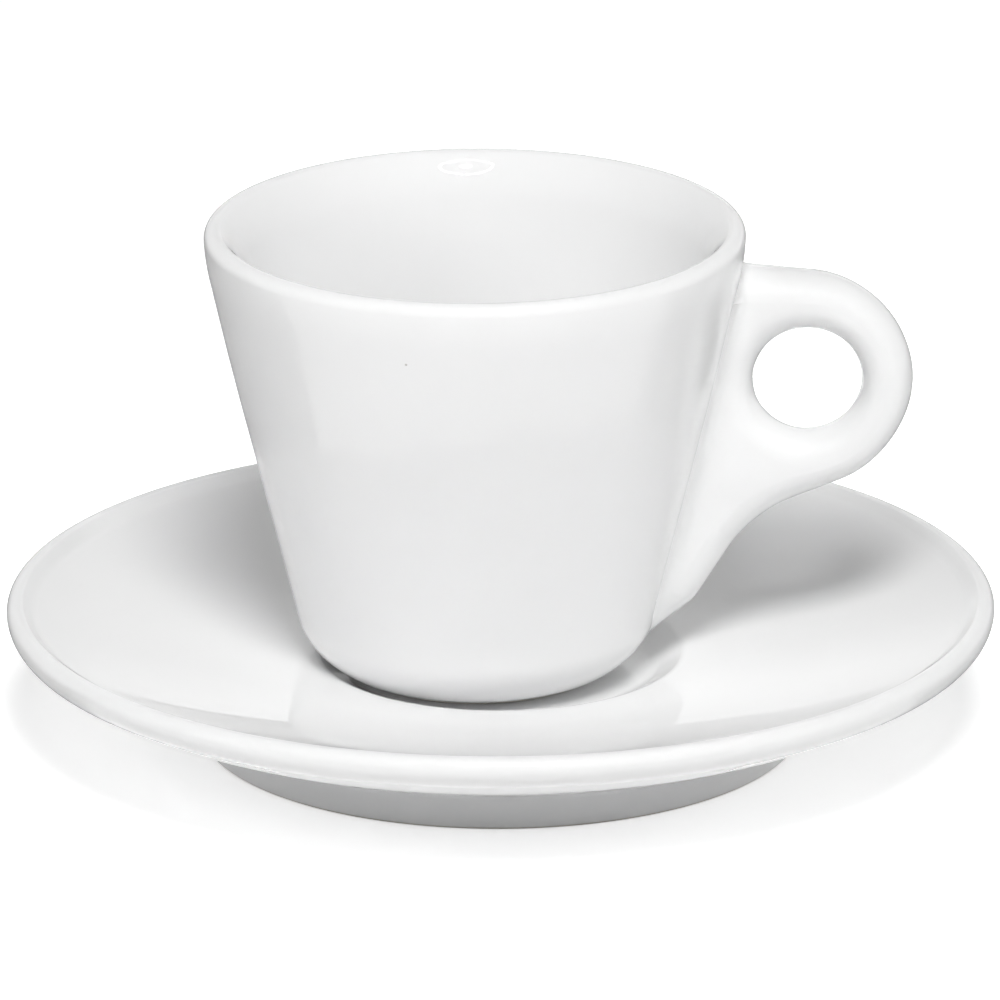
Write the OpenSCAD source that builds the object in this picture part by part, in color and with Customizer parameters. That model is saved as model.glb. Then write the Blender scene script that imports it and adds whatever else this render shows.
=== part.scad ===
/* [Saucer] */
// Diameter over the lip
saucer_d = 120; // [104:1:150]
// Height of the lip's crest above the table
saucer_h = 17.1; // [15.5:0.1:20]
// Height of the well's floor above the table
well_floor_z = 8; // [7:0.1:8.8]
// Diameter of the well's upper edge
well_d = 44.6; // [44:0.1:52]
// Depth of the well below its upper edge
well_depth = 2.05; // [1:0.05:2.6]
// How far the well's wall leans in between its edge and its floor
well_lean = 3.6; // [1:0.1:4.2]
// Radius of the well's upper edge
well_edge_round = 2; // [0.4:0.1:3]
// Radius of the hollow between the well's wall and its floor
well_fillet = 3; // [1:0.1:4]
// Thickness of the clay under the well
well_clay = 4.2; // [3:0.1:5]
// Slope of the dish just outside the well in degrees
dish_slope_in = 4.6; // [2:0.1:6]
// Slope of the dish just inside the lip in degrees
dish_slope_out = 16.5; // [12:0.1:18]
// Radius of the dish's hollow
dish_round = 130; // [60:1:150]
// Thickness of the lip at its outer edge before rounding
lip_t = 3.1; // [2.4:0.1:4]
// Width of the lip's crest before rounding
lip_w = 1.9; // [1.6:0.1:2.6]
// Height of the crest above the dish just inside it
lip_rise = 1.1; // [0.6:0.1:1.6]
// Width of the slope inside the crest
lip_slope_w = 1.4; // [0.8:0.1:2]
// Radius over the lip's outer upper edge
lip_round_top = 1.45; // [0.8:0.05:1.8]
// Radius under the lip's outer edge
lip_round_under = 2.8; // [1.5:0.1:3.5]
// Radius over the lip's inner edge
lip_round_in = 1; // [0.4:0.1:1.4]
// Radius of the hollow where the lip meets the dish
lip_fillet = 2.5; // [1:0.1:4]
// Diameter over the foot ring at the table
saucer_foot_d = 73.2; // [64:0.2:84]
// Width of the foot ring at the table
saucer_foot_w = 3; // [2:0.1:4]
// Height at which the foot's outer wall meets the underside
saucer_foot_h = 4.9; // [4:0.1:5.4]
// How far the foot's outer wall leans out over that height
saucer_foot_lean = 1.8; // [0.8:0.1:3]
// How far the foot's inner wall leans in
saucer_foot_draft = 1.4; // [0.6:0.1:2]
// Radius of the foot ring's lower edges
saucer_foot_round = 0.6; // [0.2:0.1:0.9]
// Radius of the hollows where the foot ring meets the underside
saucer_foot_fillet = 2; // [0.8:0.1:2.6]
// Distance of the bend in the underside from the axis
underside_bend_x = 51; // [46:0.5:54]
// Height of that bend above the table
underside_bend_z = 9.5; // [8.6:0.1:10.4]
// Radius of that bend
underside_round = 30; // [10:1:40]

/* [Cup body] */
// Diameter over the rim
cup_d = 65.3; // [60:0.1:72]
// Height of the rim above the cup's foot
cup_h = 56.1; // [52:0.1:64]
// Lean of the outside wall from the upright in degrees
wall_taper = 12.5; // [9:0.1:14]
// How many degrees more the lower part of that wall leans in
low_lean = 1.3; // [0.4:0.1:2.5]
// Height above the cup's foot at which the lower part ends
low_h = 38; // [28:0.5:44]
// Radius of the bend between the two parts
low_round = 300; // [50:10:400]
// Height of the shoulder in which the wall turns upright below the rim
shoulder_h = 4; // [3.5:0.1:5]
// How many degrees the wall turns upright there
shoulder_turn = 9; // [3:0.5:9]
// Radius of the shoulder
shoulder_round = 20; // [5:1:22]
// Lean of the inside wall from the upright in degrees
inside_taper = 13.8; // [10:0.1:15]
// Radius of the rim towards the outside
rim_round = 1.4; // [1.1:0.05:1.8]
// Radius of the rim towards the inside
rim_round_in = 1; // [0.6:0.05:1.4]
// Height of the roll that leads from the rim to the inside wall
roll_h = 2.5; // [2.3:0.1:4]
// Lean of the roll's upper edge from the upright in degrees
roll_lean = 44; // [30:1:45]
// Radius of the roll
roll_round = 10; // [4:0.5:11]
// Height of the foot ring below the cup's base
cup_foot_h = 0.3; // [0.2:0.05:1]
// Diameter over the foot ring
cup_foot_d = 29; // [26:0.5:31]
// Width of the foot ring
cup_foot_w = 2; // [1.4:0.1:3]
// Radius of the foot ring's lower edges
cup_foot_round = 0.25; // [0.1:0.05:0.5]
// Thickness of the base
cup_base_t = 4.2; // [3:0.1:5.5]
// Radius between the base and the outside wall
base_round = 8.8; // [7:0.1:10]
// Radius between the base and the inside wall
inside_round = 8; // [5:0.1:10]

/* [Cup handle] */
// Diameter of the finger hole
hole_d = 13.2; // [12:0.1:14]
// Width of the clay between the finger hole and the wall
web_w = 4.48; // [3.4:0.02:6.4]
// Height of the finger hole's centre above the cup's foot
hole_z = 36.6; // [35:0.1:38.5]
// Width of the loop outside the finger hole
loop_w = 6.15; // [4.9:0.05:9.3]
// Outer radius of the loop round the finger hole
loop_round = 13.5; // [12.6:0.1:14]
// Height above the cup's foot at which the top edge leaves the wall
handle_top_z = 51; // [49.5:0.1:52.5]
// Slope of the top edge in degrees
top_slope = 6; // [2:0.5:8]
// Radius of the hollow between the top edge and the wall
top_fillet = 3; // [1:0.5:4]
// Depth of the loop's lower edge under the finger hole's centre
loop_under = 14.3; // [13.4:0.1:15.5]
// Slope of the loop's lower edge in degrees
under_slope = 22; // [18:0.5:26]
// Distance from the finger hole's centre back to where the lower edge turns down into the tail
tail_turn_in = 6.65; // [5:0.05:7.6]
// Slope of the tail's edge in degrees
tail_slope = 57.5; // [54:0.5:60]
// Distance that the tail's edge runs in towards the wall on its way down
tail_run = 6.9; // [6:0.1:7.5]
// Slope of the tail's end in degrees
tail_end_slope = 38; // [34:0.5:42]
// Radius of the hollow where the lower edge turns down
tail_fillet = 15; // [8:0.5:16]
// Radius where the tail turns in to the wall
tail_end_round = 6; // [3:0.5:8]
// Thickness of the handle
handle_t = 8; // [7:0.1:9]
// Width over which the handle's edges round off
handle_edge = 3.5; // [2.5:0.1:4]
// Radius of the hollow between the handle's sides and the wall
handle_fillet = 2.5; // [1.5:0.1:3]

/* [Placing] */
// How far the cup stands off the saucer's middle, away from the handle
cup_offset = 2.9; // [0:0.1:3.2]

/* [Drawing] */
// Angle covered by one step of a rounded edge in degrees
round_step = 9; // [5:1:15]
// Length of one step along the handle's outline
outline_step = 2; // [1.5:0.1:3]

/* [Hidden] */

// Steps round the axis of every turned shape
turned_steps = 180;
// Fewest steps of a rounded edge
round_steps_least = 3;
// Steps of a quarter round on the handle's section
edge_steps = 5;
// Steps of its side before, along and behind the hollow at the wall
side_steps = 1;
hollow_steps = 4;
inner_steps = 1;
// The least shares of a side that its steps before the hollow, in it and behind it get
side_share = 0.08;
hollow_share = 0.1;
inner_share = 0.06;
// A step shorter than this share of the outline's longest step is left out
short_share = 0.1;
// Pieces that each outline step is cut into close to the wall
wall_pieces = 2;
// How far the tail's sections draw round to the side of the finger hole, as shares
tail_draw_share = 0.65;
tail_squeeze_share = 0.25;
// Most of a narrow arm's width that one rounded edge may take
edge_share = 0.43;
// How far the handle's fillet runs on inside the wall before the wall cuts it off
fillet_sink = 0.3;
// Most of the fillet's radius that its curve uses, short of turning back
fillet_share = 0.94;
// Depth inside the wall of the handle's root, which the wall cuts off
root_depth = 9;
// Depth inside the wall at which the tail's end stops, and the step from there back to the root
tail_depth = 3.5;
root_step = 8;
root_rise = 1;
// How far the root climbs inside the wall from the top edge, and the least it stays below the rim
root_climb = 4;
root_below = 1;
// How much rounder the root's corners are than the handle's edge, so that its sections never cross
root_clear = 1;
// How far the foot ring's blank reaches up into the base
foot_overlap = 1.5;

// The corners of an outline are [x, z, radius].
function at(corner) = [corner.x, corner.y];
function toward(a, b) = (b - a) / norm(b - a);
function cross2(a, b) = a.x * b.y - a.y * b.x;
function turned(v, angle) = [v.x * cos(angle) - v.y * sin(angle), v.x * sin(angle) + v.y * cos(angle)];

// The angle through which an outline turns at corner b
function turn(a, b, c) = acos(max(-1, min(1, toward(a, b) * toward(b, c))));

// The length of edge that the rounding of corner i takes up
function take(c, i) =
    let (n = len(c))
    c[i].z == 0 ? 0 : c[i].z * tan(turn(at(c[(i + n - 1) % n]), at(c[i]), at(c[(i + 1) % n])) / 2);

// The share of its radius that corner i keeps where two roundings meet on one edge
function keep(c, i, j) =
    let (both = take(c, i) + take(c, j), edge = norm(at(c[j]) - at(c[i])))
    both > edge ? edge / both : 1;

// The points of the arc that rounds corner b by a radius
function rounded(a, b, c, radius) =
    let (
        angle = turn(a, b, c),
        run = radius * tan(angle / 2),
        start = b + toward(b, a) * run,
        middle = (toward(b, a) + toward(b, c)) / norm(toward(b, a) + toward(b, c)),
        centre = b + middle * radius / cos(angle / 2),
        way = cross2(toward(a, b), toward(b, c)) > 0 ? 1 : -1,
        steps = max(round_steps_least, ceil(angle / round_step))
    )
    [for (k = [0:steps]) centre + turned(start - centre, way * angle * k / steps)];

// A closed outline with every corner rounded by its own radius
function smooth(c) =
    let (n = len(c))
    [for (i = [0:n - 1])
        let (before = (i + n - 1) % n, after = (i + 1) % n, share = min(keep(c, before, i), keep(c, i, after)))
        for (p = c[i].z == 0 ? [at(c[i])] : rounded(at(c[before]), at(c[i]), at(c[after]), c[i].z * share)) p];

// A closed outline with no step longer than the given one, and none much shorter
function spaced(points, step) =
    let (n = len(points))
    [for (i = [0:n - 1])
        let (
            a = points[i],
            b = points[(i + 1) % n],
            run = norm(b - a),
            pieces = run < step * short_share ? 0 : ceil(run / step)
        )
        if (pieces > 0)
        for (k = [0:pieces - 1]) a + (b - a) * k / pieces];

// Saucer: the corners of its half section, from the underside's middle round to the well
saucer_r = saucer_d / 2;
foot_r = saucer_foot_d / 2;
well_r = well_d / 2;
well_edge_z = well_floor_z + well_depth;
lip_in_x = saucer_r - lip_w - lip_slope_w;
lip_in_z = saucer_h - lip_rise;
// The two slopes of the dish meet here
dish_bend_x = (lip_in_z - well_edge_z + well_r * tan(dish_slope_in) - lip_in_x * tan(dish_slope_out))
    / (tan(dish_slope_in) - tan(dish_slope_out));
dish_bend_z = well_edge_z + (dish_bend_x - well_r) * tan(dish_slope_in);
saucer_corners = [
    [0, well_floor_z - well_clay, 0],
    [foot_r - saucer_foot_w - saucer_foot_draft, well_floor_z - well_clay, saucer_foot_fillet],
    [foot_r - saucer_foot_w, 0, saucer_foot_round],
    [foot_r, 0, saucer_foot_round],
    [foot_r + saucer_foot_lean, saucer_foot_h, saucer_foot_fillet],
    [underside_bend_x, underside_bend_z, underside_round],
    [saucer_r, saucer_h - lip_t, lip_round_under],
    [saucer_r, saucer_h, lip_round_top],
    [saucer_r - lip_w, saucer_h, lip_round_in],
    [lip_in_x, lip_in_z, lip_fillet],
    [dish_bend_x, dish_bend_z, dish_round],
    [well_r, well_edge_z, well_edge_round],
    [well_r - well_lean, well_floor_z, well_fillet],
    [0, well_floor_z, 0]
];

// Cup body: where the lines of its walls meet the rim, the bends below it and the base
rim_x = cup_d / 2 - rim_round;
rim_lean = wall_taper - shoulder_turn;
wall_top_x = rim_x + rim_round / cos(rim_lean) + rim_round * tan(rim_lean);
shoulder_x = wall_top_x - shoulder_h * tan(rim_lean);
shoulder_z = cup_h - shoulder_h;
low_x = shoulder_x - (shoulder_z - low_h) * tan(wall_taper);
low_taper = wall_taper + low_lean;
rim_in_x = wall_top_x - rim_round * tan((90 + rim_lean) / 2) - rim_round_in * tan((90 - roll_lean) / 2);
roll_x = rim_in_x - roll_h * tan(roll_lean);
roll_z = cup_h - roll_h;
inside_floor_z = cup_foot_h + cup_base_t;
// The outside wall is the innermost of its three lines at every height
function wall_x(z) = min(
    shoulder_x + (z - shoulder_z) * tan(rim_lean),
    shoulder_x + (z - shoulder_z) * tan(wall_taper),
    low_x + (z - low_h) * tan(low_taper)
);
function inside_x(z) = roll_x - (roll_z - z) * tan(inside_taper);
outside_corners = [
    [0, cup_foot_h, 0],
    [wall_x(cup_foot_h), cup_foot_h, base_round],
    [low_x, low_h, low_round],
    [shoulder_x, shoulder_z, shoulder_round],
    [wall_top_x, cup_h, rim_round]
];
inside_corners = [
    [rim_in_x, cup_h, rim_round_in],
    [roll_x, roll_z, roll_round],
    [inside_x(inside_floor_z), inside_floor_z, inside_round],
    [0, inside_floor_z, 0]
];
cup_foot_r = cup_foot_d / 2;
cup_foot_corners = [
    [cup_foot_r - cup_foot_w, 0, cup_foot_round],
    [cup_foot_r, 0, cup_foot_round],
    [cup_foot_r, cup_foot_h + foot_overlap, 0],
    [cup_foot_r - cup_foot_w, cup_foot_h + foot_overlap, 0]
];

// Cup handle: the corners of its outline in the plane through the cup's axis
hole_r = hole_d / 2;
hole_x = wall_x(hole_z) + web_w + hole_r;
hole_centre = [hole_x, hole_z];
handle_reach = hole_x + hole_r + loop_w;
top_wall_x = wall_x(handle_top_z);
function top_edge_z(x) = handle_top_z - (x - top_wall_x) * tan(top_slope);
function under_edge_z(x) = hole_z - loop_under + (x - hole_x) * tan(under_slope);
tail_turn_x = hole_x - tail_turn_in;
tail_turn_z = under_edge_z(tail_turn_x);
tail_end_x = tail_turn_x - tail_run;
tail_end_z = tail_turn_z - tail_run * tan(tail_slope);
// The tail's end line goes in until it is deep enough inside the wall
tail_root_x = (wall_x(tail_end_z) - tail_depth - tail_end_x * tan(tail_end_slope) * tan(low_taper))
    / (1 - tan(tail_end_slope) * tan(low_taper));
tail_root_z = tail_end_z - (tail_end_x - tail_root_x) * tan(tail_end_slope);
root_top_z = min(handle_top_z + root_climb, cup_h - root_below);
root_round = handle_edge + root_clear;
handle_corners = [
    [top_wall_x - root_depth, root_top_z, root_round],
    [top_wall_x, handle_top_z, top_fillet],
    [handle_reach, top_edge_z(handle_reach), loop_round],
    [handle_reach, under_edge_z(handle_reach), loop_round],
    [tail_turn_x, tail_turn_z, tail_fillet],
    [tail_end_x, tail_end_z, tail_end_round],
    [tail_root_x, tail_root_z, root_round],
    [tail_root_x - root_step, tail_root_z + root_rise, root_round]
];
handle_outline = refined(spaced(smooth(handle_corners), outline_step));

// The outline with shorter steps where it crosses the wall
function refined(points) =
    let (n = len(points))
    [for (i = [0:n - 1])
        let (
            a = points[i],
            b = points[(i + 1) % n],
            off = abs((a.x + b.x) / 2 - wall_x((a.y + b.y) / 2)),
            pieces = off < handle_fillet + outline_step ? wall_pieces : 1
        )
        for (k = [0:pieces - 1]) a + (b - a) * k / pieces];

// The place in whose direction the section at a point of the outline leaves the finger hole
function guide(out) =
    let (level = hole_z - tail_turn_in * tan(tail_slope) * tail_draw_share)
    out.x < hole_x && out.y < level ? [out.x, level + (out.y - level) * tail_squeeze_share] : out;

// How far a place lies past the line where the hollow at the wall begins
function past_start(p) =
    sqrt(pow(wall_x(p.y) - fillet_sink + handle_fillet, 2) - pow(handle_t / 2 + handle_fillet, 2)) - p.x;

// Half the handle's thickness at a place, with the hollow that widens it to the wall
function half_t(p) =
    let (past = max(0, min(handle_fillet * fillet_share, past_start(p))))
    handle_t / 2 + handle_fillet - sqrt(pow(handle_fillet, 2) - pow(past, 2));

// The shares of the way from near to far at which a side is cut into steps, close together in the hollow
function side_shares(near, far) =
    let (
        g0 = past_start(near),
        g1 = past_start(far),
        deep = handle_fillet * fillet_share,
        last = 1 - hollow_share - inner_share,
        begin = g1 > 0 ? max(side_share, min(last, -g0 / (g1 - g0))) : last,
        end = g1 > 0 ? max(begin + hollow_share, min(1 - inner_share, (deep - g0) / (g1 - g0))) : 1 - inner_share,
        angle = asin(fillet_share)
    )
    concat(
        [for (k = [1:side_steps]) begin * k / side_steps],
        [for (k = [1:hollow_steps]) begin + (end - begin) * sin(angle * k / hollow_steps) / fillet_share],
        [for (k = [1:inner_steps]) end + (1 - end) * k / (inner_steps + 1)]
    );

// The front half of the section at point i of the outline, from the finger hole outwards
function half_section(outline, i) =
    let (
        n = len(outline),
        out = outline[i],
        along = toward(outline[(i + n - 1) % n], outline[(i + 1) % n]),
        inward = [along.y, -along.x],
        ray = toward(hole_centre, guide(out)),
        hole = hole_centre + ray * hole_r,
        edge = min(handle_edge, norm(out - hole) * edge_share),
        near = hole + ray * edge,
        far = out + inward * edge
    )
    concat(
        [for (k = [1:edge_steps])
            let (a = 90 * k / edge_steps, p = hole + ray * edge * (1 - cos(a)))
            [p.x, half_t(p) * sin(a), p.y]],
        [for (share = side_shares(near, far))
            let (p = near + (far - near) * share)
            [p.x, half_t(p), p.y]],
        [for (k = [edge_steps:-1:1])
            let (a = 90 * k / edge_steps, p = out + inward * edge * (1 - cos(a)))
            [p.x, half_t(p) * sin(a), p.y]]
    );

// The whole section: the hole's edge, the front half, the outer edge, the back half
function section(outline, i) =
    let (
        half = half_section(outline, i),
        hole = hole_centre + toward(hole_centre, guide(outline[i])) * hole_r
    )
    concat(
        [[hole.x, 0, hole.y]],
        [for (p = half) [p.x, -p.y, p.z]],
        [[outline[i].x, 0, outline[i].y]],
        [for (k = [len(half) - 1:-1:0]) half[k]]
    );

module saucer() {
    color("white")
    rotate_extrude($fn = turned_steps)
    polygon(smooth(saucer_corners));
}

// The cup's outside, filled: the handle's root is cut to it
module cup_outside() {
    rotate_extrude($fn = turned_steps)
    polygon(smooth(concat(outside_corners, [[0, cup_h, 0]])));
}

module cup_body() {
    color("snow")
    translate([-cup_offset, 0, well_floor_z])
    rotate_extrude($fn = turned_steps)
    union() {
        polygon(smooth(concat(outside_corners, inside_corners)));
        polygon(smooth(cup_foot_corners));
    }
}

module handle_loop() {
    sections = [for (i = [0:len(handle_outline) - 1]) section(handle_outline, i)];
    n = len(sections);
    m = len(sections[0]);
    points = [for (s = sections) for (p = s) p];
    faces = [for (i = [0:n - 1]) for (j = [0:m - 1])
        let (
            a = i * m + j,
            b = i * m + (j + 1) % m,
            c = ((i + 1) % n) * m + (j + 1) % m,
            d = ((i + 1) % n) * m + j
        )
        for (face = [[a, b, c], [a, c, d]]) face];
    polyhedron(points, faces);
}

module cup_handle() {
    color("whitesmoke")
    translate([-cup_offset, 0, well_floor_z])
    difference() {
        handle_loop();
        cup_outside();
    }
}

saucer();
cup_body();
cup_handle();
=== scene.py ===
# %% [markdown]
# # An espresso cup with its saucer
#
# The real object is three pieces of fired porcelain: a saucer, a cup, and a handle that was joined to
# the cup before firing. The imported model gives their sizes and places. This lesson loads it as a fixed
# frame, makes finer surfaces in the same places, and glazes them.

# %% Load the frame
import math

import bmesh
import bpy
from mathutils import Euler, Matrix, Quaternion, Vector


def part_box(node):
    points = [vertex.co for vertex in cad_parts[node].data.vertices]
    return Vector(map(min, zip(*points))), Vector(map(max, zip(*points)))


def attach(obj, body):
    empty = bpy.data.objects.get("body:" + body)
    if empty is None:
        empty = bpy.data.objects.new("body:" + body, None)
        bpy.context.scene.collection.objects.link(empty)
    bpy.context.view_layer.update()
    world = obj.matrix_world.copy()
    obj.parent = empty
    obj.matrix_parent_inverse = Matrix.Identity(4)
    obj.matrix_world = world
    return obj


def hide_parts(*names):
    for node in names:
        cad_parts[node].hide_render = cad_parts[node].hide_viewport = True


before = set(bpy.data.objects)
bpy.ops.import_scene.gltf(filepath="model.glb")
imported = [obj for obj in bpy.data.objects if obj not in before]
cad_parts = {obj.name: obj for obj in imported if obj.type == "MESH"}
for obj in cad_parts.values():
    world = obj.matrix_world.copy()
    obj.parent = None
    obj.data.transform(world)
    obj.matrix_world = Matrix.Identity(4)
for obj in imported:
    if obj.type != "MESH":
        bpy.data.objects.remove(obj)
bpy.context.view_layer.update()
MM = 0.001

# %% [markdown]
# ## The camera
#
# The picture was taken with a long lens from a little above the rim, so the ellipses of the rim, the
# lip and the foot ring are nearly alike. A short lens close by would show the near side of the saucer
# too large. The roll is the small tilt that the picture has.

# %% Camera
CAMERA_BACK = 1.4005
CAMERA_HEIGHT = 0.5009
CAMERA_TILT = 18.616
CAMERA_ROLL = -0.252
LENS = 438.8
SENSOR = 36.0
FARTHEST = 100.0


def make_camera():
    """Makes the camera and gives it to the scene."""
    data = bpy.data.cameras.new("camera")
    data.sensor_width = SENSOR
    data.lens = LENS
    data.clip_end = FARTHEST
    camera = bpy.data.objects.new("camera", data)
    bpy.context.scene.collection.objects.link(camera)
    camera.location = (0.0, -CAMERA_BACK, CAMERA_HEIGHT)
    tilt = Euler((math.radians(90 - CAMERA_TILT), 0, 0)).to_quaternion()
    roll = Quaternion((0, 0, 1), math.radians(CAMERA_ROLL))
    camera.rotation_euler = (tilt @ roll).to_euler()
    bpy.context.scene.camera = camera


make_camera()
print("camera", CAMERA_BACK, "m back and", CAMERA_HEIGHT, "m up, lens", LENS, "mm")

# %% [markdown]
# ## Turned shapes
#
# A saucer or a cup is made on a wheel or in a spinning mould: one outline, turned about an upright
# axis. So each is drawn here as half a section, a chain of straight edges whose corners are then
# rounded by a vertex bevel, and a spin turns it. Rounding first and spinning afterwards keeps every
# edge an exact arc. Modelling the round solid and bevelling its edges later would be less exact,
# because the bevels would run into each other at the thin lip.

# %% An outline with rounded corners
ARC_STEP = math.radians(4)
LONGEST_STEP = 1.3 * MM
LEAST_STEPS = 4


def corner_turn(before, here, after):
    """The angle through which the outline turns at a corner."""
    return (here - before).angle(after - here)


def draw_outline(bm, corners, closed=False):
    """Draws corners (x, z, radius) in millimetres as a wire and rounds them."""
    points = [Vector((x, 0, z)) * MM for x, z, radius in corners]
    verts = [bm.verts.new(point) for point in points]
    count = len(verts)
    for i in range(count if closed else count - 1):
        bm.edges.new((verts[i], verts[(i + 1) % count]))
    for i, (x, z, radius) in enumerate(corners):
        if radius == 0:
            continue
        angle = corner_turn(points[i - 1], points[i], points[(i + 1) % count])
        arc = angle * radius * MM
        steps = max(LEAST_STEPS, math.ceil(angle / ARC_STEP), math.ceil(arc / LONGEST_STEP))
        bmesh.ops.bevel(bm, geom=[verts[i]], affect="VERTICES", offset_type="OFFSET",
                        offset=radius * MM * math.tan(angle / 2), segments=steps,
                        profile=0.5, material=-1)
    for edge in [e for e in bm.edges if e.calc_length() > LONGEST_STEP]:
        bmesh.ops.subdivide_edges(bm, edges=[edge], cuts=int(edge.calc_length() / LONGEST_STEP))


# %% Turn an outline into a solid
TURN_STEPS = 240
MERGE = 1e-6


def clean(bm):
    """Closes seams and poles, and turns every face outwards."""
    bmesh.ops.remove_doubles(bm, verts=bm.verts, dist=MERGE)
    bmesh.ops.recalc_face_normals(bm, faces=bm.faces)


def finish_piece(bm, name, body, slot, *nodes):
    """Makes the object, gives it its body, and takes the place of the CAD nodes. slot is not used."""
    for face in bm.faces:
        face.smooth = True
    mesh = bpy.data.meshes.new(name)
    bm.to_mesh(mesh)
    print(name, "faces", len(bm.faces), "volume", round(bm.calc_volume(signed=True) * 1e9), "mm3",
          "open edges", sum(not e.is_manifold for e in bm.edges))
    bm.free()
    piece = bpy.data.objects.new(name, mesh)
    bpy.context.scene.collection.objects.link(piece)
    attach(piece, body)
    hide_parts(*nodes)
    return piece


def turn_outline(corners, x=0.0, z=0.0):
    """A bmesh of the corners turned about an upright axis that stands at x and starts at z."""
    bm = bmesh.new()
    draw_outline(bm, corners)
    # A quarter turn mirrored twice is the same as a full turn, and much quicker
    bmesh.ops.spin(bm, geom=bm.verts[:] + bm.edges[:], cent=(0, 0, 0), axis=(0, 0, 1), dvec=(0, 0, 0),
                   angle=math.tau / 4, steps=TURN_STEPS // 4, use_merge=False, use_duplicate=False)
    for side in "XY":
        bmesh.ops.mirror(bm, geom=bm.verts[:] + bm.edges[:] + bm.faces[:], axis=side, merge_dist=MERGE)
    clean(bm)
    bmesh.ops.translate(bm, verts=bm.verts, vec=(x, 0, z))
    return bm


# %% [markdown]
# ## The saucer
#
# The saucer has a well that the cup's foot stands in, a dish that rises slowly and then faster to the
# lip, a thick rolled lip, and underneath a foot ring. Its outline runs from the middle of the underside
# round the foot ring and the lip and back to the middle of the well. All sizes are in millimetres, and
# the overall ones come from the frame.

# %% Saucer
low, high = (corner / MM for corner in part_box("saucer"))
# Rounded numbers could put the lip a hair outside the CAD box, so it keeps this far inside
SPARE = 0.002
SAUCER_R = high.x - SPARE
SAUCER_H = high.z
WELL_Z = 8.0
WELL_R = 22.3
WELL_EDGE_Z = 10.05
WELL_LEAN = 3.6
WELL_EDGE_ROUND = 2
WELL_ROUND = 3
CLAY = 4.2
FOOT_R = 36.6
FOOT_W = 3.0
FOOT_H = 4.9
FOOT_LEAN_IN = 1.4
FOOT_LEAN_OUT = 1.8
FOOT_EDGE = 0.6
FOOT_ROUND = 2
BELLY_X = 51
BELLY_Z = 9.5
BELLY_ROUND = 30
LIP_T = 3.1
LIP_W = 1.9
LIP_SLOPE_W = 1.4
LIP_RISE = 1.1
LIP_UNDER_ROUND = 2.7
LIP_TOP_ROUND = 1.3
LIP_IN_ROUND = 0.5
LIP_SLOPE_ROUND = 2.5
DISH_ROUND = 130
SLOPE_IN = math.tan(math.radians(4.6))
SLOPE_OUT = math.tan(math.radians(16.5))


def saucer_corners():
    """Half the saucer's section, from the middle of the underside round to the middle of the well."""
    lip_x = SAUCER_R - LIP_W - LIP_SLOPE_W
    lip_z = SAUCER_H - LIP_RISE
    # Where the dish's two slopes meet
    bend_x = (lip_z - WELL_EDGE_Z + WELL_R * SLOPE_IN - lip_x * SLOPE_OUT) / (SLOPE_IN - SLOPE_OUT)
    return [
        (0, WELL_Z - CLAY, 0),
        (FOOT_R - FOOT_W - FOOT_LEAN_IN, WELL_Z - CLAY, FOOT_ROUND),
        (FOOT_R - FOOT_W, 0, FOOT_EDGE),
        (FOOT_R, 0, FOOT_EDGE),
        (FOOT_R + FOOT_LEAN_OUT, FOOT_H, FOOT_ROUND),
        (BELLY_X, BELLY_Z, BELLY_ROUND),
        (SAUCER_R, SAUCER_H - LIP_T, LIP_UNDER_ROUND),
        (SAUCER_R, SAUCER_H, LIP_TOP_ROUND),
        (SAUCER_R - LIP_W, SAUCER_H, LIP_IN_ROUND),
        (lip_x, lip_z, LIP_SLOPE_ROUND),
        (bend_x, WELL_EDGE_Z + (bend_x - WELL_R) * SLOPE_IN, DISH_ROUND),
        (WELL_R, WELL_EDGE_Z, WELL_EDGE_ROUND),
        (WELL_R - WELL_LEAN, WELL_Z, WELL_ROUND),
        (0, WELL_Z, 0),
    ]


saucer = finish_piece(turn_outline(saucer_corners()),
                      "glazed_saucer", "saucer", "saucer_glaze", "saucer")

# %% [markdown]
# ## The cup's body
#
# The cup is a cone with a softly rounded base and a thick wall of about 4.5 mm. Its lower part leans in a
# little more than the rest, a faint shoulder lies just below the rim, and inside the rim a roll leads
# down to the wall. It stands on a low foot ring in the saucer's well, a few millimetres off the middle,
# as the picture shows it. The outline runs from the middle of the underside over the foot ring, up the
# outside, over the rim and down the inside.

# %% Cup body
low, high = (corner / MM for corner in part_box("cup_body"))
CUP_X = (low.x + high.x) / 2
CUP_Z = low.z
CUP_R = (high.x - low.x) / 2
CUP_H = high.z - low.z
RIM_ROUND = 1.4
RIM_ROUND_IN = 1.0
SHOULDER_H = 4.0
SHOULDER_ROUND = 20.0
LOW_H = 38.0
LOW_ROUND = 300.0
ROLL_H = 2.5
ROLL_LEAN = math.radians(44)
ROLL_ROUND = 10.0
LEAN = math.radians(12.5)
RIM_LEAN = math.radians(3.5)
LOW_LEAN = math.radians(13.8)
INSIDE_LEAN = math.radians(13.8)
BASE_Z = 0.3
BASE_T = 4.2
BASE_ROUND = 8.8
INSIDE_ROUND = 8.0
CUP_FOOT_R = 14.5
CUP_FOOT_W = 2.0
CUP_FOOT_EDGE = 0.25
CUP_FOOT_IN_ROUND = 0.04
CUP_FOOT_OUT_ROUND = 0.08
# Roundings that would touch end to end keep these shares of their size, to leave a hair of straight
BASE_SHARE = 0.96
RIM_SHARE = 0.998
# The outside wall's lines meet at the rim, at the shoulder and at the start of the lower part
TOP_X = CUP_R - RIM_ROUND + RIM_ROUND / math.cos(RIM_LEAN) + RIM_ROUND * math.tan(RIM_LEAN)
SHOULDER_X = TOP_X - SHOULDER_H * math.tan(RIM_LEAN)
SHOULDER_Z = CUP_H - SHOULDER_H
LOW_X = SHOULDER_X - (SHOULDER_Z - LOW_H) * math.tan(LEAN)


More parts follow.
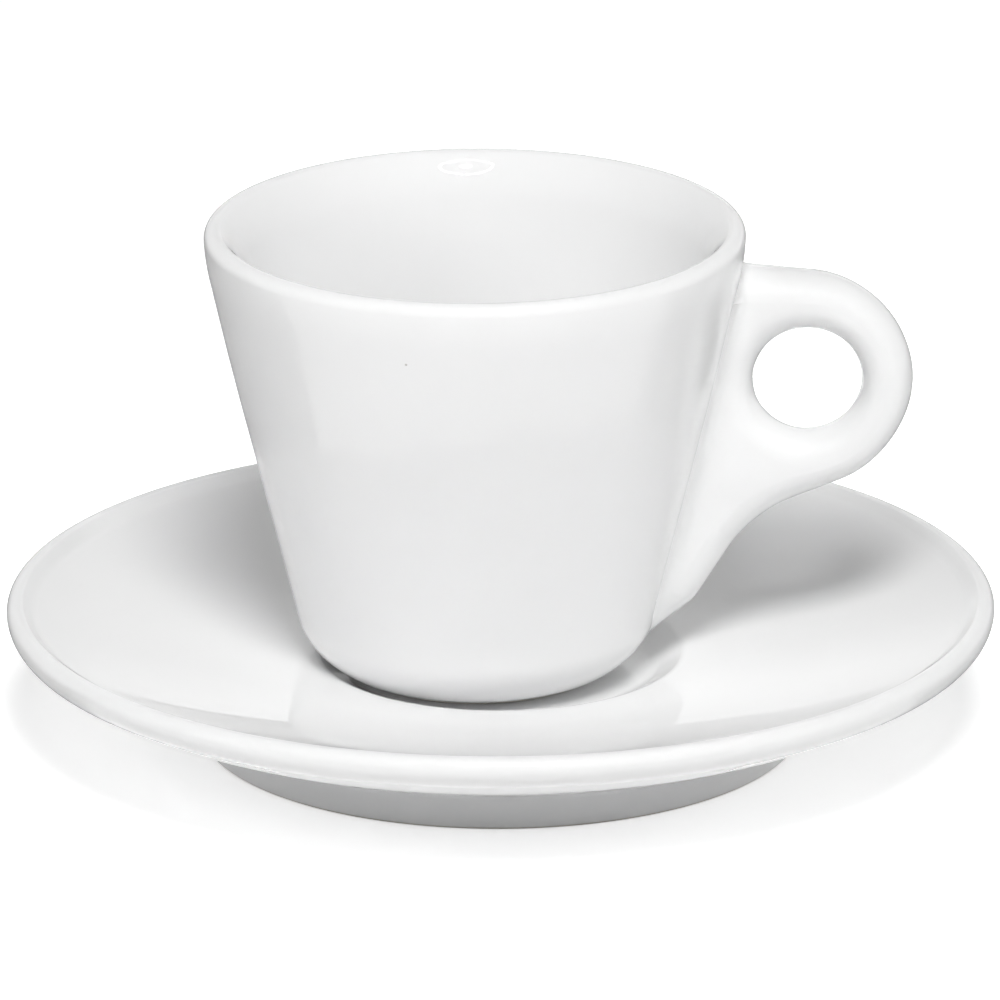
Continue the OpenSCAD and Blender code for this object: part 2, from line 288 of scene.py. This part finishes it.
def wall_x(z):
    """Radius of the outside wall at a height above the cup's foot: the innermost of its three lines."""
    return min(SHOULDER_X + (z - SHOULDER_Z) * math.tan(RIM_LEAN),
               SHOULDER_X + (z - SHOULDER_Z) * math.tan(LEAN),
               LOW_X + (z - LOW_H) * math.tan(LOW_LEAN))


# The base's rounding starts inside the foot ring, so the ring meets it a little way up the arc
BASE_ARC_X = wall_x(BASE_Z) - BASE_ROUND * math.tan((math.pi / 2 - LOW_LEAN) / 2)
# The rim's inner corner, and the roll that leads from it to the inside wall
RIM_IN_X = (TOP_X - RIM_ROUND * math.tan((math.pi / 2 + RIM_LEAN) / 2)
            - RIM_ROUND_IN * math.tan((math.pi / 2 - ROLL_LEAN) / 2))
ROLL_X = RIM_IN_X - ROLL_H * math.tan(ROLL_LEAN)


def inside_x(z):
    """Radius of the inside wall at a height above the cup's foot."""
    return ROLL_X - (CUP_H - ROLL_H - z) * math.tan(INSIDE_LEAN)


def cup_corners():
    """Half the cup's section, from the middle of the underside over the rim to the middle inside."""
    # The tangent of the base's arc where the foot ring meets it, and where that tangent meets the wall
    start = math.asin((CUP_FOOT_R - BASE_ARC_X) / BASE_ROUND)
    meet_z = BASE_Z + BASE_ROUND * (1 - math.cos(start))
    run = BASE_ROUND * math.tan((math.pi / 2 - LOW_LEAN - start) / 2)
    corner_z = meet_z + run * math.sin(start)
    return [
        (0, BASE_Z, 0),
        (CUP_FOOT_R - CUP_FOOT_W, BASE_Z, CUP_FOOT_IN_ROUND),
        (CUP_FOOT_R - CUP_FOOT_W, 0, CUP_FOOT_EDGE),
        (CUP_FOOT_R, 0, CUP_FOOT_EDGE),
        (CUP_FOOT_R, meet_z, CUP_FOOT_OUT_ROUND),
        (wall_x(corner_z), corner_z, BASE_ROUND * BASE_SHARE),
        (LOW_X, LOW_H, LOW_ROUND),
        (SHOULDER_X, SHOULDER_Z, SHOULDER_ROUND),
        (TOP_X, CUP_H, RIM_ROUND * RIM_SHARE),
        (RIM_IN_X, CUP_H, RIM_ROUND_IN * RIM_SHARE),
        (ROLL_X, CUP_H - ROLL_H, ROLL_ROUND),
        (inside_x(BASE_Z + BASE_T), BASE_Z + BASE_T, INSIDE_ROUND),
        (0, BASE_Z + BASE_T, 0),
    ]


cup_body = finish_piece(turn_outline(cup_corners(), CUP_X * MM, CUP_Z * MM),
                        "glazed_cup_body", "cup", "cup_glaze", "cup_body")

# %% [markdown]
# ## The handle
#
# The handle is a flat plate of clay with a round finger hole: it loops round the hole, and its lower
# edge runs down the wall in a tail. Its edges are fully rounded, and its sides widen in a hollow where
# they meet the wall. It is made like wrapping paper round a ring: a grid of faces whose long side goes
# round the handle's outline and whose short side goes round its section. Each vertex of the grid is
# moved to its place by one function, so the outline, the rounding and the hollow stay separate ideas.

# %% Handle outline
HANDLE_T = 8.0
HANDLE_EDGE = 3.5
HOLE_R = 6.6
HOLE_Z = 36.6
WEB_W = 4.48
HOLE = Vector((wall_x(HOLE_Z) + WEB_W + HOLE_R, HOLE_Z))
LOOP_W = 6.15
LOOP_ROUND = 13.5
TOP_Z = 51.0
TOP_SLOPE = math.tan(math.radians(6))
TOP_ROUND = 3
UNDER = 14.3
UNDER_SLOPE = math.tan(math.radians(22))
UNDER_ROUND = 15
TAIL_IN = 6.65
TAIL_RUN = 6.9
TAIL_SLOPE = math.tan(math.radians(57.5))
TAIL_END_SLOPE = math.tan(math.radians(38))
TAIL_ROUND = 6
# The root's corners all lie within the cup's outside, which cuts them off
ROOT_DEPTH = 9.0
ROOT_TOP = 4.0
ROOT_END = 8.0
ROOT_END_RISE = 1.0
TAIL_DEPTH = 3.5
ROOT_ROUND = 4.5
OUTLINE_STEPS = 288
OUTLINE_MERGE = 0.05


def top_z(x):
    """Height of the handle's upper edge."""
    return TOP_Z - (x - wall_x(TOP_Z)) * TOP_SLOPE


def under_z(x):
    """Height of the handle's lower edge, before it turns down into the tail."""
    return HOLE.y - UNDER + (x - HOLE.x) * UNDER_SLOPE


def handle_corners():
    """The handle's outline, from the root over the loop and down the tail."""
    reach = HOLE.x + HOLE_R + LOOP_W
    turn_x = HOLE.x - TAIL_IN
    end_x = turn_x - TAIL_RUN
    end_z = under_z(turn_x) - TAIL_RUN * TAIL_SLOPE
    # The tail's end runs down to a place that lies TAIL_DEPTH inside the leaning wall
    both_slopes = TAIL_END_SLOPE * math.tan(LOW_LEAN)
    root_x = (wall_x(end_z) - TAIL_DEPTH - end_x * both_slopes) / (1 - both_slopes)
    root_z = end_z - (end_x - root_x) * TAIL_END_SLOPE
    top_x = wall_x(TOP_Z) - ROOT_DEPTH
    return [
        (top_x, TOP_Z + ROOT_TOP, ROOT_ROUND),
        (wall_x(TOP_Z), TOP_Z, TOP_ROUND),
        (reach, top_z(reach), LOOP_ROUND),
        (reach, under_z(reach), LOOP_ROUND),
        (turn_x, under_z(turn_x), UNDER_ROUND),
        (end_x, end_z, TAIL_ROUND),
        (root_x, root_z, ROOT_ROUND),
        (root_x - ROOT_END, root_z + ROOT_END_RISE, ROOT_ROUND),
    ]


def walk(bm, start):
    """The places of a closed wire's vertices, in order from start towards higher x."""
    chain = [start]
    edge = max(start.link_edges, key=lambda e: e.other_vert(start).co.x)
    while edge.other_vert(chain[-1]) is not start:
        chain.append(edge.other_vert(chain[-1]))
        edge = next(e for e in chain[-1].link_edges if e is not edge)
    return [Vector((v.co.x, v.co.z)) / MM for v in chain]


def even_points(points, count):
    """Points at even steps along a closed chain."""
    loop = points + points[:1]
    lengths = [0.0]
    for a, b in zip(loop, loop[1:]):
        lengths.append(lengths[-1] + (b - a).length)
    spots = []
    k = 0
    for i in range(count):
        way = lengths[-1] * i / count
        while lengths[k + 1] < way:
            k += 1
        share = (way - lengths[k]) / (lengths[k + 1] - lengths[k])
        spots.append(loop[k].lerp(loop[k + 1], share))
    return spots


def handle_outline():
    """The rounded outline as points at even steps, starting at the top."""
    bm = bmesh.new()
    draw_outline(bm, handle_corners(), closed=True)
    bmesh.ops.remove_doubles(bm, verts=bm.verts, dist=OUTLINE_MERGE * MM)
    start = max(bm.verts, key=lambda v: v.co.z)
    points = even_points(walk(bm, start), OUTLINE_STEPS)
    bm.free()
    return points


HANDLE_OUTLINE = handle_outline()
print("handle outline", len(HANDLE_OUTLINE), "points")

# %% [markdown]
# The section at each point of the outline runs from the finger hole to the outline. Its edges are
# quarter rounds. Between them the side is flat, or widens in a hollow towards the wall. The tail runs
# almost straight away from the hole, so its sections start from the hole's inner side instead, and no
# two sections cross.

# %% Handle section
EDGE_STEPS = 7
HOLLOW_STEPS = 7
# Where the clay between hole and outline is narrow, its rounded edges take this share of it each
EDGE_SHARE = 0.43
# The hollow's radius, how far it sinks into the wall, and the share of a quarter round that it keeps
HOLLOW = 2.5
HOLLOW_SINK = 0.05
HOLLOW_SHARE = 0.985
# Past this share of the tail's drop, the sections of the tail point down less steeply, by this factor
TAIL_DRAW = 0.65
TAIL_SQUEEZE = 0.25
# Bounds of the shares of a side at which its hollow begins and ends
BEGIN_LEAST = 0.06
BEGIN_MOST = 0.85
END_MOST = 0.96
HOLLOW_LEAST = 0.08
LAST_SHARE = 0.75


def past_hollow(spot):
    """How far a place lies past the line where the hollow at the wall begins."""
    wall = wall_x(spot.y) - HOLLOW_SINK
    return math.sqrt((wall + HOLLOW) ** 2 - (HANDLE_T / 2 + HOLLOW) ** 2) - spot.x


def half_thickness(spot):
    """Half the plate's thickness at a place, where its edges aren't rounded."""
    past = max(0, min(HOLLOW * HOLLOW_SHARE, past_hollow(spot)))
    return HANDLE_T / 2 + HOLLOW - math.sqrt(HOLLOW ** 2 - past ** 2)


def hole_direction(out):
    """The way from the hole's middle along which the section of an outline point starts."""
    level = HOLE.y - TAIL_IN * TAIL_SLOPE * TAIL_DRAW
    if out.x < HOLE.x and out.y < level:
        out = Vector((out.x, level + (out.y - level) * TAIL_SQUEEZE))
    return (out - HOLE).normalized()


def side_shares(near, far):
    """Shares of the way from near to far, close together where the hollow is steep."""
    first, last = past_hollow(near), past_hollow(far)
    begin, end = BEGIN_MOST, END_MOST
    if last > 0:
        begin = max(BEGIN_LEAST, min(begin, -first / (last - first)))
        end = min(end, (HOLLOW * HOLLOW_SHARE - first) / (last - first))
        end = max(begin + HOLLOW_LEAST, end)
    shares = [begin / 2, begin]
    for k in range(1, HOLLOW_STEPS + 1):
        steep = math.sin(math.asin(HOLLOW_SHARE) * k / HOLLOW_STEPS) / HOLLOW_SHARE
        shares.append(begin + (end - begin) * steep)
    return shares + [(end + 1) / 2, end + (1 - end) * LAST_SHARE]


def half_section(i):
    """Half the section at point i of the outline, as (x, half thickness, z)."""
    out = HANDLE_OUTLINE[i]
    along = (HANDLE_OUTLINE[(i + 1) % OUTLINE_STEPS] - HANDLE_OUTLINE[i - 1]).normalized()
    inward = Vector((along.y, -along.x))
    ray = hole_direction(out)
    hole = HOLE + ray * HOLE_R
    edge = min(HANDLE_EDGE, (out - hole).length * EDGE_SHARE)
    near = hole + ray * edge
    far = out + inward * edge
    angles = [math.pi / 2 * k / EDGE_STEPS for k in range(EDGE_STEPS + 1)]
    half = []
    for angle in angles:
        spot = hole + ray * edge * (1 - math.cos(angle))
        half.append((spot.x, half_thickness(spot) * math.sin(angle), spot.y))
    for share in side_shares(near, far):
        spot = near.lerp(far, share)
        half.append((spot.x, half_thickness(spot), spot.y))
    for angle in reversed(angles):
        spot = out + inward * edge * (1 - math.cos(angle))
        half.append((spot.x, half_thickness(spot) * math.sin(angle), spot.y))
    return half


# %% Wrap the grid round the handle
def handle_sections():
    """The whole section at each point of the outline, as a closed chain of places."""
    sections = []
    for i in range(OUTLINE_STEPS):
        half = half_section(i)
        back = [(x, y, z) for x, y, z in reversed(half[1:-1])]
        sections.append([(x, -y, z) for x, y, z in half] + back)
    return sections


def wrap_grid(sections):
    """A grid of faces that is closed both ways, with one row of vertices to a section."""
    around, across = len(sections), len(sections[0])
    bm = bmesh.new()
    bmesh.ops.create_grid(bm, x_segments=around, y_segments=across, size=1)
    for vert in bm.verts:
        i = round((vert.co.x + 1) / 2 * around) % around
        j = round((vert.co.y + 1) / 2 * across) % across
        x, y, z = sections[i][j]
        vert.co = (x * MM, y * MM, z * MM)
    clean(bm)
    return bm


# %% [markdown]
# The handle's root runs on inside the wall. On the real cup it stops at the wall, so the cup's
# outside, made a little smaller, is taken away from it with a Boolean. The cut then lies just under the
# wall's surface, where it can't be seen from either side.

# %% Cut the root and place the handle
ROOT_SINK = 0.6


def plain_object(bm, name):
    """An object of a bmesh, without a body or a slot."""
    mesh = bpy.data.meshes.new(name)
    bm.to_mesh(mesh)
    bm.free()
    made = bpy.data.objects.new(name, mesh)
    bpy.context.scene.collection.objects.link(made)
    return made


def cup_core():
    """The cup's outside, filled and a little smaller."""
    return turn_outline([
        (0, BASE_Z + ROOT_SINK, 0),
        (wall_x(BASE_Z) - ROOT_SINK, BASE_Z + ROOT_SINK, BASE_ROUND - ROOT_SINK),
        (LOW_X - ROOT_SINK, LOW_H, LOW_ROUND),
        (SHOULDER_X - ROOT_SINK, SHOULDER_Z, SHOULDER_ROUND),
        (TOP_X - ROOT_SINK, CUP_H, 0),
        (0, CUP_H, 0),
    ])


def cut_handle():
    """The handle with its root cut off along the wall, moved to its place on the cup."""
    loop = plain_object(wrap_grid(handle_sections()), "handle_loop")
    core = plain_object(cup_core(), "cup_core")
    cut = loop.modifiers.new("cut", "BOOLEAN")
    cut.operation = "DIFFERENCE"
    cut.solver = "EXACT"
    cut.object = core
    bpy.context.view_layer.update()
    bm = bmesh.new()
    bm.from_object(loop, bpy.context.evaluated_depsgraph_get())
    for used in (loop, core):
        bpy.data.objects.remove(used)
    bmesh.ops.translate(bm, verts=bm.verts, vec=(CUP_X * MM, 0, CUP_Z * MM))
    return bm


cup_handle = finish_piece(cut_handle(), "glazed_cup_handle", "cup", "cup_glaze", "cup_handle")

# %% [markdown]
# ## Shader maths as expressions
#
# A material is a graph of small sums. Written as Python expressions, the graph reads like the sums it
# stands for. `Wire` holds a socket, and each operator adds one Math node. `Shader` makes every other
# node with one method: the node's settings come first, then the values or links of its sockets.

# %% Wires and shaders
class Wire:
    """An output socket that can be used in a sum, as a number can."""

    def __init__(self, tree, socket):
        self.tree = tree
        self.socket = socket

    def math(self, operation, first, second):
        """The output of a new Math node."""
        node = self.tree.nodes.new("ShaderNodeMath")
        node.operation = operation
        for socket, value in zip(node.inputs, (first, second)):
            if isinstance(value, Wire):
                self.tree.links.new(value.socket, socket)
            else:
                socket.default_value = value
        return Wire(self.tree, node.outputs[0])

    def __add__(self, other):
        return self.math("ADD", self, other)

    def __sub__(self, other):
        return self.math("SUBTRACT", self, other)

    def __rsub__(self, other):
        return self.math("SUBTRACT", other, self)

    def __mul__(self, other):
        return self.math("MULTIPLY", self, other)

    def __lt__(self, other):
        return self.math("LESS_THAN", self, other)

    def most(self, other):
        """The greater of the two."""
        return self.math("MAXIMUM", self, other)

    __radd__ = __add__
    __rmul__ = __mul__


class Shader:
    """A new material or world, and the one method that adds nodes to it."""

    def __init__(self, owner):
        self.owner = owner
        owner.use_nodes = True
        self.tree = owner.node_tree
        self.tree.nodes.clear()

    def add(self, kind, settings=None, output=0, **sockets):
        """A node of a kind. A socket is named in words, or as _0, _1 and so on by its place."""
        node = self.tree.nodes.new("ShaderNode" + kind)
        for setting, value in (settings or {}).items():
            setattr(node, setting, value)
        for name, value in sockets.items():
            socket = node.inputs[int(name[1:]) if name[0] == "_" else name.replace("_", " ")]
            if isinstance(value, Wire):
                self.tree.links.new(value.socket, socket)
            else:
                socket.default_value = value
        return Wire(self.tree, node.outputs[output]) if len(node.outputs) else None

    def blend(self, factor, first, second):
        """A colour between two colours."""
        return self.add("Mix", {"data_type": "RGBA"}, output=2, _0=factor, _6=first, _7=second)


# %% [markdown]
# ## The glaze
#
# Porcelain glaze is a layer of clear glass, a fifth of a millimetre thick, over a white body. The coat
# layer of the Principled shader is that glass. The body under it is dull, so its own specular level is
# 0, and everything that mirrors is the coat. Three things keep it from looking like plastic: the glass
# ripples a little where it ran as it melted, the white has faint cloudy changes, and here and there is
# a dark speck of iron in a small dent. The foot rings are wiped clean of glaze before firing, so that
# the ware doesn't stick to the kiln, and there the dull, slightly warmer body shows. A mask from the
# height above the foot finds them. Two shaders, one for glaze and one for clay, could be mixed instead,
# but one shader whose coat varies is simpler.

# %% Glaze
WHITE = (0.90, 0.901, 0.903, 1)
CLOUD = (0.875, 0.876, 0.876, 1)
SPECK_COLOUR = (0.33, 0.30, 0.27, 1)
CLAY_COLOUR = (0.74, 0.71, 0.66, 1)
CLOUDS_PER_METRE = 45.0
RIPPLES_PER_METRE = 150.0
DIMPLES_PER_METRE = 620.0
GRAINS_PER_METRE = 2200.0
SPECKS_PER_METRE = 70.0
SPECK_R = 0.16 * MM
SPECK_CHANCE = 0.3
SPECK_STRENGTH = 0.55
BODY_ROUGHNESS = 0.3
CLOUD_ROUGHNESS = 0.06
CLAY_ROUGHNESS = 0.45
GLASS_ROUGHNESS = 0.012
GLASS_IOR = 1.5
# The relief's full height, and how much of it each kind of unevenness takes
RELIEF = 0.012 * MM
RELIEF_STRENGTH = 0.5
RIPPLE = 0.5
DIMPLE = 0.12
SPECK_DEPTH = 0.9
GRAIN = 1.5


def glaze(name, foot_z, wiped):
    """A glazed material. The clay shows from foot_z up to wiped above it, both in metres."""
    shader = Shader(bpy.data.materials.new(name))
    place = shader.add("TexCoord", output=3)
    height = shader.add("SeparateXYZ", output=2, Vector=place)
    clay = height < foot_z + wiped
    cloud = shader.add("TexNoise", Vector=place, Scale=CLOUDS_PER_METRE, Detail=3.0, Roughness=0.55)
    ripple = shader.add("TexNoise", Vector=place, Scale=RIPPLES_PER_METRE, Detail=1.0, Roughness=0.4)
    dimple = shader.add("TexNoise", Vector=place, Scale=DIMPLES_PER_METRE, Detail=1.0, Roughness=0.4)
    grain = shader.add("TexNoise", Vector=place, Scale=GRAINS_PER_METRE, Detail=2.0)
    # Only some of the Voronoi cells have a speck in their middle
    away = shader.add("TexVoronoi", Vector=place, Scale=SPECKS_PER_METRE)
    cell = shader.add("TexVoronoi", output=1, Vector=place, Scale=SPECKS_PER_METRE)
    chance = shader.add("SeparateColor", Color=cell)
    speck = (away < SPECK_R * SPECKS_PER_METRE) * (chance < SPECK_CHANCE)
    colour = shader.blend(cloud, WHITE, CLOUD)
    colour = shader.blend(speck * SPECK_STRENGTH, colour, SPECK_COLOUR)
    colour = shader.blend(clay, colour, CLAY_COLOUR)
    relief = ripple * RIPPLE + dimple * DIMPLE - speck * SPECK_DEPTH + clay * grain * GRAIN
    bump = shader.add("Bump", Strength=RELIEF_STRENGTH, Distance=RELIEF, Height=relief)
    rough = BODY_ROUGHNESS + cloud * CLOUD_ROUGHNESS + clay * CLAY_ROUGHNESS
    surface = shader.add("BsdfPrincipled", Base_Color=colour, Roughness=rough, Normal=bump,
                         Specular_IOR_Level=0.0, Coat_Weight=1 - clay,
                         Coat_Roughness=GLASS_ROUGHNESS, Coat_IOR=GLASS_IOR)
    shader.add("OutputMaterial", Surface=surface)
    return shader.owner


SAUCER_WIPED = 0.35 * MM
CUP_WIPED = 0.3 * MM
SAUCER_GLAZE = glaze("saucer_glaze_white", 0.0, SAUCER_WIPED)
CUP_GLAZE = glaze("cup_glaze_white", CUP_Z * MM, CUP_WIPED)
for piece, material in ((saucer, SAUCER_GLAZE), (cup_body, CUP_GLAZE), (cup_handle, CUP_GLAZE)):
    piece.data.materials.clear()
    piece.data.materials.append(material)
for name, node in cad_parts.items():
    node.data.materials.clear()
    node.data.materials.append(SAUCER_GLAZE if name == "saucer" else CUP_GLAZE)
print("glazes:", [m.name for m in bpy.data.materials])

# %% [markdown]
# ## Floor and light
#
# The picture is white on white, so the shape shows only through soft shadows and reflections. The floor
# shows the white background to the camera and to reflections, and a diffuse part of it still takes the
# object's shadow. More light on the floor would whiten it too, but would wash out the glaze.

# %% Floor
FLOOR_SIZE = 8.0
FLOOR_COLOUR = (0.92, 0.92, 0.92, 1)
FLOOR_GLOW = 0.5


def background_rays(shader):
    """1 where a camera ray, a reflection or a refraction sees the background."""
    rays = [shader.add("LightPath", output=i) for i in (0, 3, 6)]
    return rays[0].most(rays[1]).most(rays[2])


def make_floor():
    """A white floor with the shadow on it."""
    bm = bmesh.new()
    bmesh.ops.create_grid(bm, x_segments=1, y_segments=1, size=FLOOR_SIZE / 2)
    floor = plain_object(bm, "floor")
    shader = Shader(bpy.data.materials.new("floor_white"))
    cloth = shader.add("BsdfDiffuse", Color=FLOOR_COLOUR)
    glow = shader.add("Emission", Strength=background_rays(shader) * FLOOR_GLOW)
    both = shader.add("AddShader", _0=cloth, _1=glow)
    shader.add("OutputMaterial", Surface=both)
    floor.data.materials.append(shader.owner)


make_floor()
print("floor", FLOOR_SIZE, "m wide")

# %% [markdown]
# A studio's white walls light the object from low down. The world stands in for them: it is bright
# behind, weaker in front and dark at the sides, which darkens the cup's edges, and it ends softly above.
# Walls built as lit planes would do the same, but would stand in the way of a camera behind the object.

# %% Room
BACK_LEVEL = 0.9
FRONT_LEVEL = 0.3
SIDE_LEVEL = 0.06
# The walls end between these two heights, as sines of the angle above the horizon
WALL_TOP = (0.5, 0.77)


def make_room():
    """A world whose light comes from low walls, and that is white where it is seen."""
    world = bpy.data.worlds.new("room")
    bpy.context.scene.world = world
    shader = Shader(world)
    way = shader.add("TexCoord", output=0)
    back = shader.add("SeparateXYZ", output=1, Vector=way)
    high = shader.add("SeparateXYZ", output=2, Vector=way)
    wall = shader.add("MapRange", {"interpolation_type": "SMOOTHSTEP"}, _0=high, _1=WALL_TOP[0],
                      _2=WALL_TOP[1], _3=1.0, _4=0.0)
    behind = back.most(0)
    before = (back * -1).most(0)
    walls = (behind * behind * BACK_LEVEL + before * before * FRONT_LEVEL + SIDE_LEVEL) * wall
    level = walls.most(background_rays(shader))
    room = shader.add("Background", Color=(1, 1, 1, 1), Strength=level)
    shader.add("OutputWorld", Surface=room)


make_room()
print("world:", bpy.context.scene.world.name)

# %% [markdown]
# The main light is a round reflector high in front. Two weak lamps at the sides draw the soft shadows
# that cross on the dish. All three are wide disks, because a small lamp's shadow would have a hard edge,
# and none of them shows in reflections.

# %% Lamps
TARGET = Vector((0, 0, 0.03))
LAMP_AWAY = 1.3
KEY_TURN = 5
KEY_LIFT = 54
KEY_WIDTH = 0.46
# Each lamp's width in metres, its turn and lift in degrees, and its watts
LAMPS = {
    "key": (KEY_WIDTH, KEY_TURN, KEY_LIFT, 12.0),
    "left": (0.6, -64, 30, 3.6),
    "right": (0.6, 80, 22, 3.2),
}


def place_light(thing, turn, lift):
    """Puts a lamp or a reflector so that it faces the object. turn is to the right of the camera."""
    turn, lift = math.radians(turn), math.radians(lift)
    way = Vector((math.sin(turn) * math.cos(lift), -math.cos(turn) * math.cos(lift), math.sin(lift)))
    thing.location = TARGET + way * LAMP_AWAY
    thing.rotation_euler = (-way).to_track_quat("-Z", "Y").to_euler()


def soft_light(name, width, turn, lift, watts):
    """A round lamp that lights the object and shows in no reflection."""
    data = bpy.data.lights.new(name, "AREA")
    data.shape = "DISK"
    data.size = width
    data.energy = watts
    light = bpy.data.objects.new(name, data)
    bpy.context.scene.collection.objects.link(light)
    place_light(light, turn, lift)
    light.visible_glossy = False


for lamp, sizes in LAMPS.items():
    soft_light(lamp, *sizes)
print("lights:", [light.name for light in bpy.data.lights])

# %% [markdown]
# A reflector on a studio lamp is bright at its edge and in its middle, and the glaze mirrors that as a
# thin ring round a small core. A lamp object is evenly bright, so the main lamp lights the scene unseen,
# and a ring and a core that only reflections show stand in its place.

# %% The main lamp's reflection
RING_STEPS = 96
RING_WIDTH = 0.02
CORE_WIDTH = 0.10
RING_GLOW = 16.0
CORE_GLOW = 26.0


def only_mirrored(thing):
    """Only reflections show it, and it neither lights nor shades anything."""
    for kind in ("camera", "diffuse", "transmission", "shadow"):
        setattr(thing, "visible_" + kind, False)


def mirrored_ring(name, outer, inner, glow):
    """A flat ring, or a disk where inner is 0, that only reflections show."""
    bm = bmesh.new()
    bmesh.ops.create_circle(bm, segments=RING_STEPS, radius=outer, cap_ends=inner == 0)
    if inner > 0:
        made = bmesh.ops.extrude_edge_only(bm, edges=bm.edges[:])
        inside = [v for v in made["geom"] if isinstance(v, bmesh.types.BMVert)]
        bmesh.ops.scale(bm, vec=(inner / outer, inner / outer, 1), verts=inside)
    ring = plain_object(bm, name)
    shader = Shader(bpy.data.materials.new(name))
    shader.add("OutputMaterial", Surface=shader.add("Emission", Strength=glow))
    ring.data.materials.append(shader.owner)
    place_light(ring, KEY_TURN, KEY_LIFT)
    only_mirrored(ring)


mirrored_ring("key_ring", KEY_WIDTH / 2, KEY_WIDTH / 2 - RING_WIDTH, RING_GLOW)
mirrored_ring("key_core", CORE_WIDTH / 2, 0, CORE_GLOW)
print("ring", KEY_WIDTH, "m wide round a core of", CORE_WIDTH, "m")

# %% [markdown]
# At its edges the cup is seen at a grazing angle, where glaze mirrors the white background and its
# outline would vanish. Photographers stand dark cards beside a white object for this. Here two grey
# cards lie on the floor, one to each side, and only reflections show them.

# %% Cards
CARD_GREY = (0.5, 0.5, 0.5, 1)
CARD_WIDTH = 0.3
CARD_LENGTH = 0.6
CARD_START = 0.02
CARD_OUT = 0.045
CARD_Z = 0.5 * MM


def grey_card(name, x):
    """A grey card that lies on the floor to one side, from beside the saucer to well behind it."""
    bm = bmesh.new()
    bmesh.ops.create_grid(bm, x_segments=1, y_segments=1, size=1)
    bmesh.ops.scale(bm, vec=(CARD_WIDTH / 2, CARD_LENGTH / 2, 1), verts=bm.verts)
    card = plain_object(bm, name)
    card.location = (x, CARD_LENGTH / 2 - CARD_START, CARD_Z)
    shader = Shader(bpy.data.materials.new(name))
    shader.add("OutputMaterial", Surface=shader.add("BsdfDiffuse", Color=CARD_GREY))
    card.data.materials.append(shader.owner)
    only_mirrored(card)


for side, name in ((-1, "card_left"), (1, "card_right")):
    grey_card(name, side * (CARD_OUT + CARD_WIDTH / 2))
print("cards of", CARD_WIDTH, "by", CARD_LENGTH, "m")

# %% [markdown]
# ## Finish
#
# The view settings stay plain, so a colour renders about as it is written.

# %% Finish
bpy.context.scene.view_settings.view_transform = "Standard"
